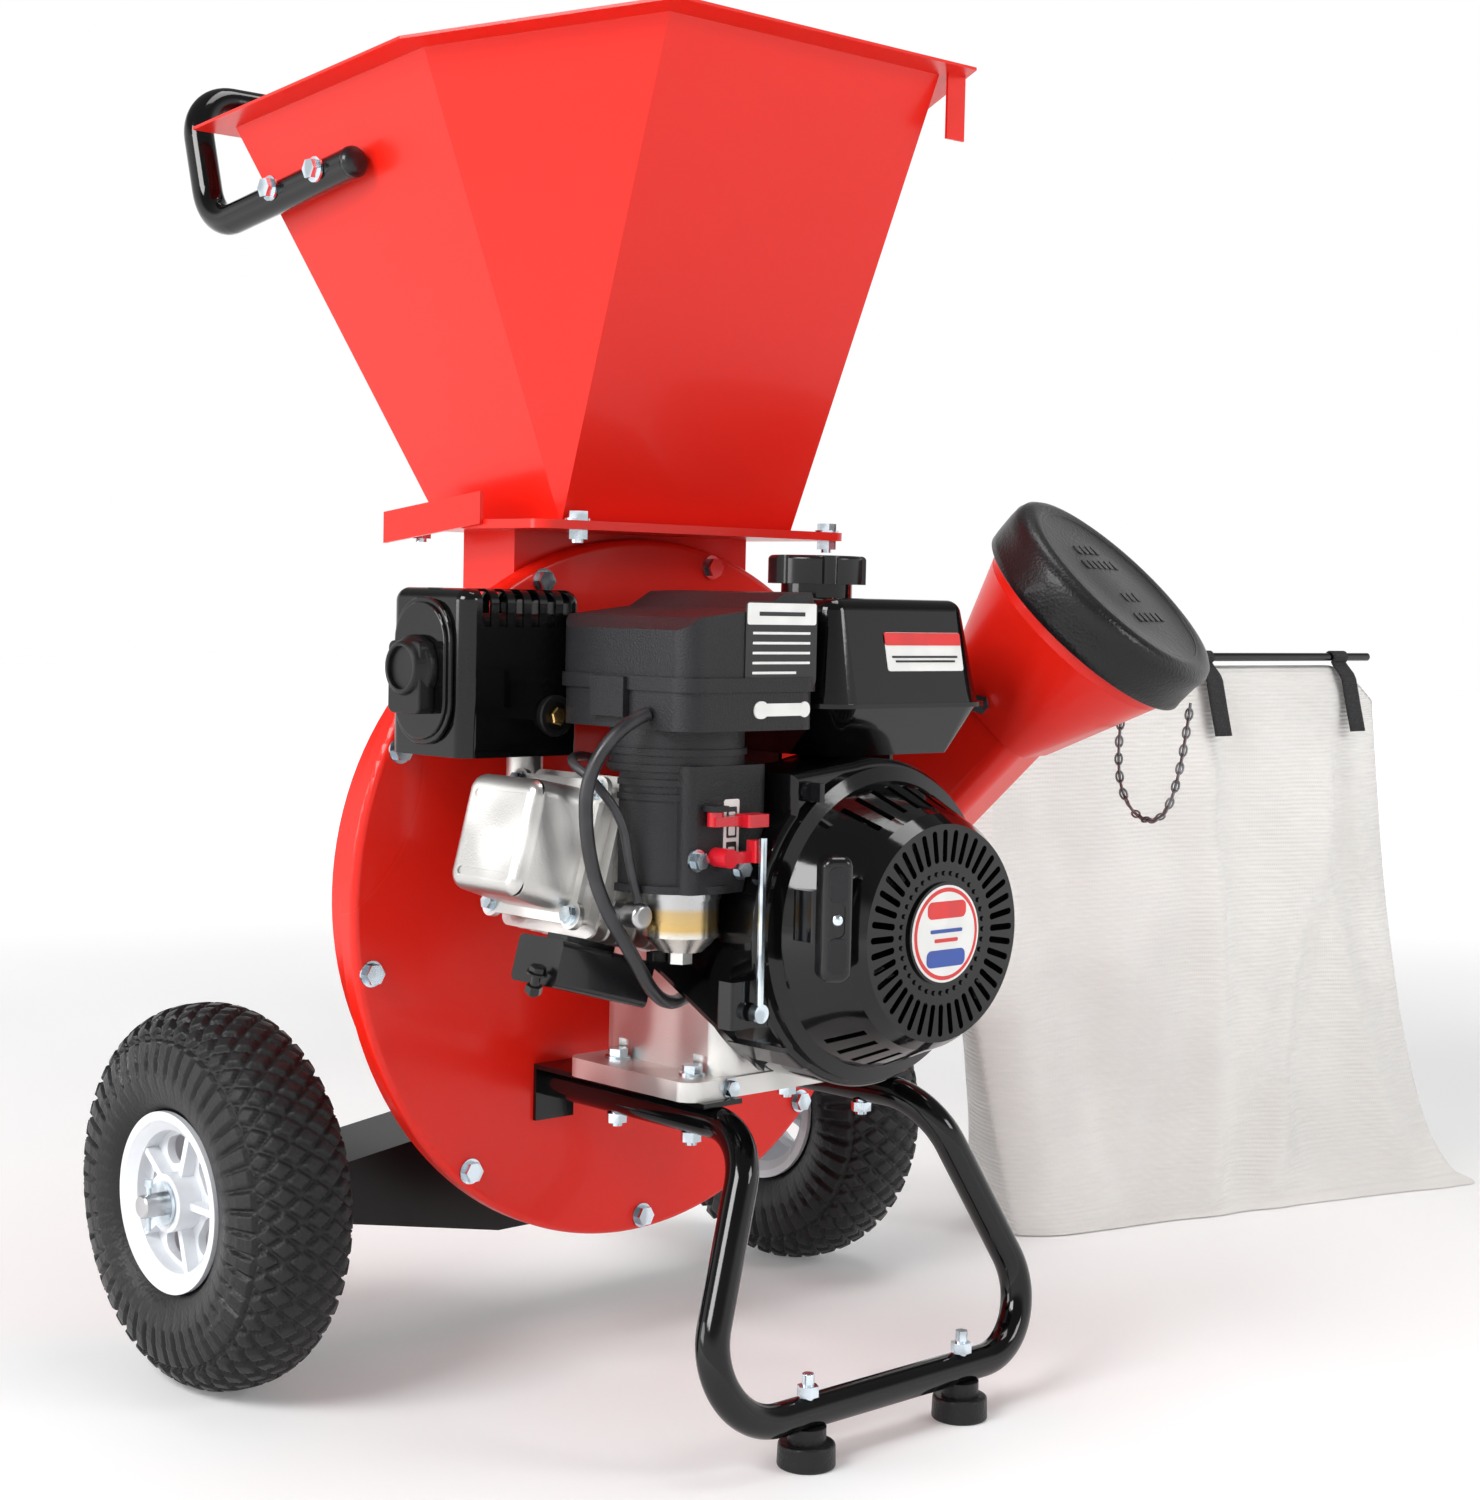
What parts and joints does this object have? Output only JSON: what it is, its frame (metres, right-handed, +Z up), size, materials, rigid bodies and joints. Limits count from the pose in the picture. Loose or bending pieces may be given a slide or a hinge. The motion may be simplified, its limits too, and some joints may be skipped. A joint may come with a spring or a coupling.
{
  "type": "wood chipper",
  "caption": "Petrol wood chipper on two wheels: drum, top hopper, capped side chute, engine with recoil starter, tube stand and mesh bag.",
  "frame": {"origin": "middle of the footprint, at floor level", "axes": "+Z up; -Y is the engine side, where the operator pulls the starter; +Y is the wheel and tow handle side; +X is the chute and bag side"},
  "size_m": [1.346, 0.599, 0.922],
  "materials": {
    "red_paint": "gloss",
    "black_paint": "gloss",
    "satin_black": "satin",
    "cast_alloy": "cast",
    "zinc": "zinc plated",
    "steel": "machined",
    "iron": "cast",
    "dark_plastic": "textured",
    "black_plastic": "gloss",
    "red_plastic": "gloss",
    "filter_foam": "foam",
    "rubber": "moulded",
    "tyre": "moulded",
    "wheel_paint": "satin",
    "mesh": "woven mesh",
    "webbing": "woven"
  },
  "bodies": {
    "chassis": {"drum_cover": "red_paint", "drum_housing": "red_paint", "feed_throat": "red_paint", "discharge_duct": "red_paint", "hopper": "red_paint", "chute_tube": "red_paint", "chute_hood": "red_paint", "tow_handle": "black_paint", "frame": "black_paint", "fan_shroud": "black_paint", "recoil_cover": "black_paint", "fuel_tank": "black_paint", "muffler_guard": "black_paint", "tank_bracket": "black_paint", "axle_bracket": "satin_black", "muffler": "satin_black", "crankcase": "cast_alloy", "crankcase_cover": "cast_alloy", "cylinder_head": "cast_alloy", "valve_cover": "cast_alloy", "carburettor": "cast_alloy", "drum_bolts": "zinc", "hopper_bolts": "zinc", "frame_bolts": "zinc", "engine_bolts": "zinc", "axle_washers": "zinc", "cotter_pins": "zinc", "cap_chain": "zinc", "axle": "steel", "spark_plug": "steel", "air_cleaner_base": "dark_plastic", "intake_elbow": "dark_plastic", "ignition_module": "black_plastic", "air_filter": "filter_foam", "feet": "rubber", "ignition_lead": "rubber", "breather_hose": "rubber"},
    "left_wheel": {"left_tyre": "tyre", "left_rim": "wheel_paint", "left_bearings": "steel"},
    "right_wheel": {"right_tyre": "tyre", "right_rim": "wheel_paint", "right_bearings": "steel"},
    "rotor": {"crankshaft": "steel", "rotor_disc": "steel", "chipper_knives": "steel", "shredder_blades": "steel", "flywheel": "iron"},
    "starter": {"starter_pulley": "black_plastic"},
    "pull_grip": {"pull_handle": "black_plastic"},
    "cap": {"chute_cap": "rubber"},
    "filler_cap": {"fuel_cap": "black_plastic"},
    "cleaner_lid": {"air_cleaner_lid": "dark_plastic"},
    "choke": {"choke_lever": "red_plastic"},
    "fuel_tap": {"fuel_lever": "red_plastic"},
    "throttle": {"throttle_lever": "zinc"},
    "switch": {"engine_switch": "black_plastic"},
    "dipstick": {"oil_dipstick": "black_plastic"},
    "bag": {"collection_bag": "mesh", "bag_rod": "steel"}
  },
  "joints": [
    {"name": "left_wheel_roll", "type": "hinge", "parent": "chassis", "child": "left_wheel", "pos_m": [-0.341, 0.1275, 0.1325], "axis": [1, 0, 0], "continuous": true},
    {"name": "right_wheel_roll", "type": "hinge", "parent": "chassis", "child": "right_wheel", "pos_m": [-0.341, 0.1275, 0.1325], "axis": [1, 0, 0], "continuous": true},
    {"name": "crankshaft_turn", "type": "hinge", "parent": "chassis", "child": "rotor", "pos_m": [-0.341, 0.0005, 0.34], "axis": [0, 1, 0], "continuous": true},
    {"name": "pull_handle_draw", "type": "slide", "parent": "chassis", "child": "pull_grip", "axis": [-0.5, -0.866, 0], "range_m": [0, 0.6], "stiffness_N_per_m": 15},
    {"name": "starter_pulley_turn", "type": "hinge", "parent": "chassis", "child": "starter", "pos_m": [-0.341, 0.0005, 0.34], "axis": [0, 1, 0], "range_deg": [0, 1020]},
    {"name": "chute_cap_lift", "type": "slide", "parent": "chassis", "child": "cap", "axis": [0.2109, -0.6587, 0.7223], "range_m": [0, 0.08]},
    {"name": "fuel_cap_turn", "type": "hinge", "parent": "chassis", "child": "filler_cap", "pos_m": [-0.329, -0.1575, 0.561], "axis": [0, 0, 1], "range_deg": [0, 90]},
    {"name": "air_cleaner_lid_lift", "type": "slide", "parent": "chassis", "child": "cleaner_lid", "axis": [0, 0, 1], "range_m": [0, 0.036]},
    {"name": "choke_turn", "type": "hinge", "parent": "chassis", "child": "choke", "pos_m": [-0.476, -0.2205, 0.412], "axis": [0, 0, -1], "range_deg": [0, 35]},
    {"name": "fuel_tap_turn", "type": "hinge", "parent": "chassis", "child": "fuel_tap", "pos_m": [-0.471, -0.2245, 0.3895], "axis": [0, 1, 0], "range_deg": [0, 25]},
    {"name": "throttle_swing", "type": "hinge", "parent": "chassis", "child": "throttle", "pos_m": [-0.451, -0.238, 0.292], "axis": [0, -1, 0], "range_deg": [0, 20]},
    {"name": "switch_turn", "type": "hinge", "parent": "chassis", "child": "switch", "pos_m": [-0.407, -0.2345, 0.429], "axis": [0, 1, 0], "range_deg": [0, 45]},
    {"name": "dipstick_draw", "type": "slide", "parent": "chassis", "child": "dipstick", "axis": [1, 0, 0], "range_m": [0, 0.06]},
    {"name": "bag_draw_off", "type": "slide", "parent": "chassis", "child": "bag", "axis": [1, 0, 0], "range_m": [0, 0.15]}
  ],
  "couplings": [
    {"joint": "starter_pulley_turn", "follows": "pull_handle_draw", "rad_per_m": 29.4}
  ]
}
